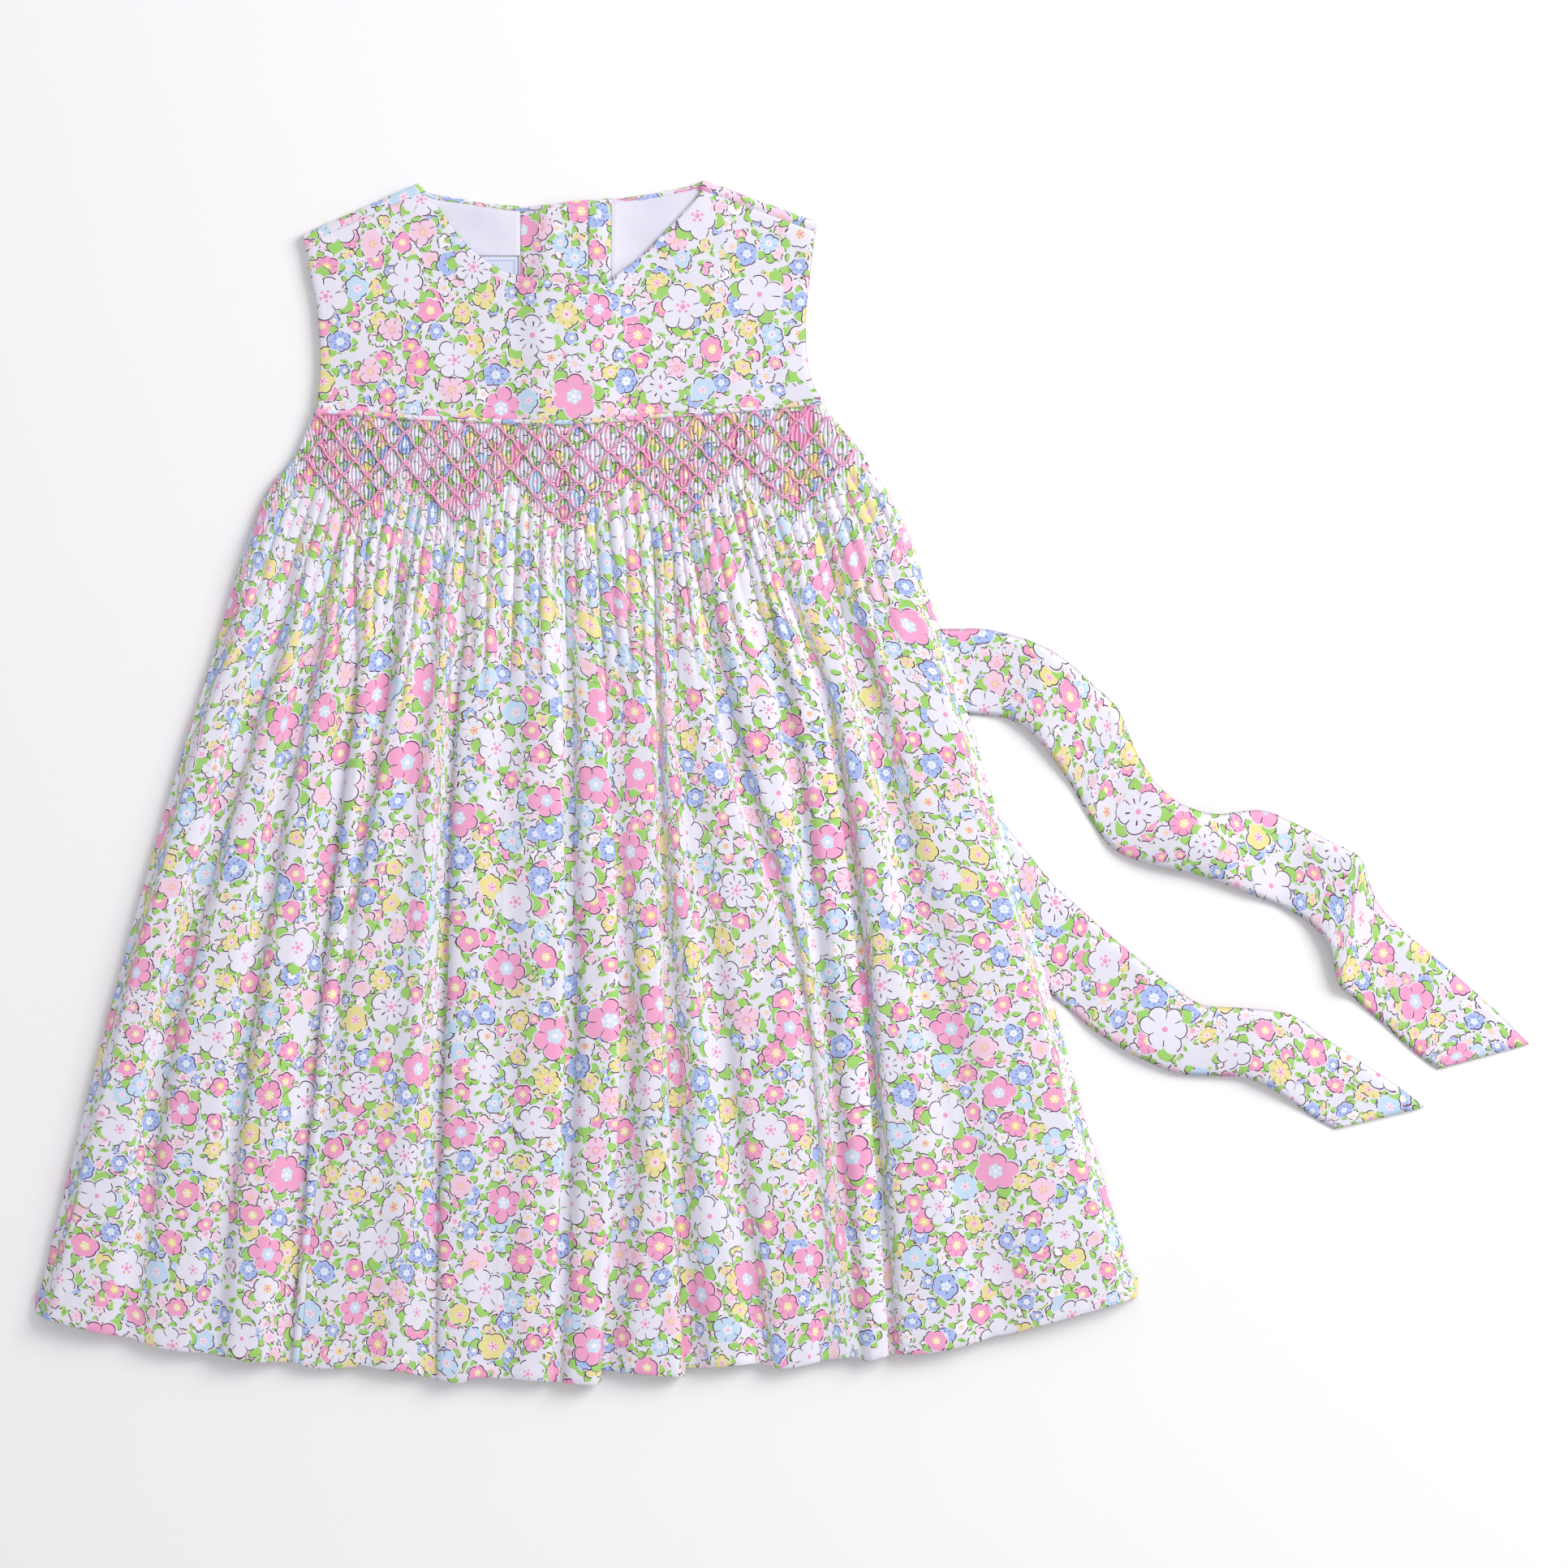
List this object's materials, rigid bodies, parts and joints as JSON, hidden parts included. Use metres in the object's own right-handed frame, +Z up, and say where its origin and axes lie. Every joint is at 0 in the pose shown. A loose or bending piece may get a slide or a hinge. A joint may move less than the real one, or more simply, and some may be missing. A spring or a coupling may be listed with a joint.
{
  "type": "sleeveless smocked child's dress, laid flat",
  "caption": "Sleeveless floral child's dress laid flat: plain yoke, piping, diamond-smocked band, full gathered skirt and two sash ties.",
  "frame": {"origin": "middle of the bounding box at the surface that the dress lies on", "axes": "+X to the viewer's right, towards the ends of the ties; +Y towards the neck; +Z up from the surface, out of the front of the dress"},
  "size_m": [0.7368, 0.5926, 0.0114],
  "materials": {
    "floral_cotton": "plain-weave cotton printed with small pink, blue, yellow and white flowers and green leaves, matt",
    "lining_cotton": "thin plain cotton lining, pale lilac white, matt",
    "label_ribbon": "pale blue woven ribbon, bare",
    "button_resin": "off-white polished resin"
  },
  "bodies": {
    "root": {"skirt_back": "floral_cotton", "yoke_back_left": "floral_cotton", "yoke_back_right": "floral_cotton", "yoke_lining_left": "lining_cotton", "placket_facing_left": "floral_cotton", "placket_facing_right": "floral_cotton", "yoke_lining_right": "lining_cotton", "neck_label": "label_ribbon", "back_button_1": "button_resin", "back_button_2": "button_resin", "back_button_3": "button_resin", "yoke_front": "floral_cotton", "yoke_piping": "floral_cotton", "skirt_front": "floral_cotton", "sash_tie_left": "floral_cotton", "sash_tie_right": "floral_cotton"}
  },
  "joints": []
}
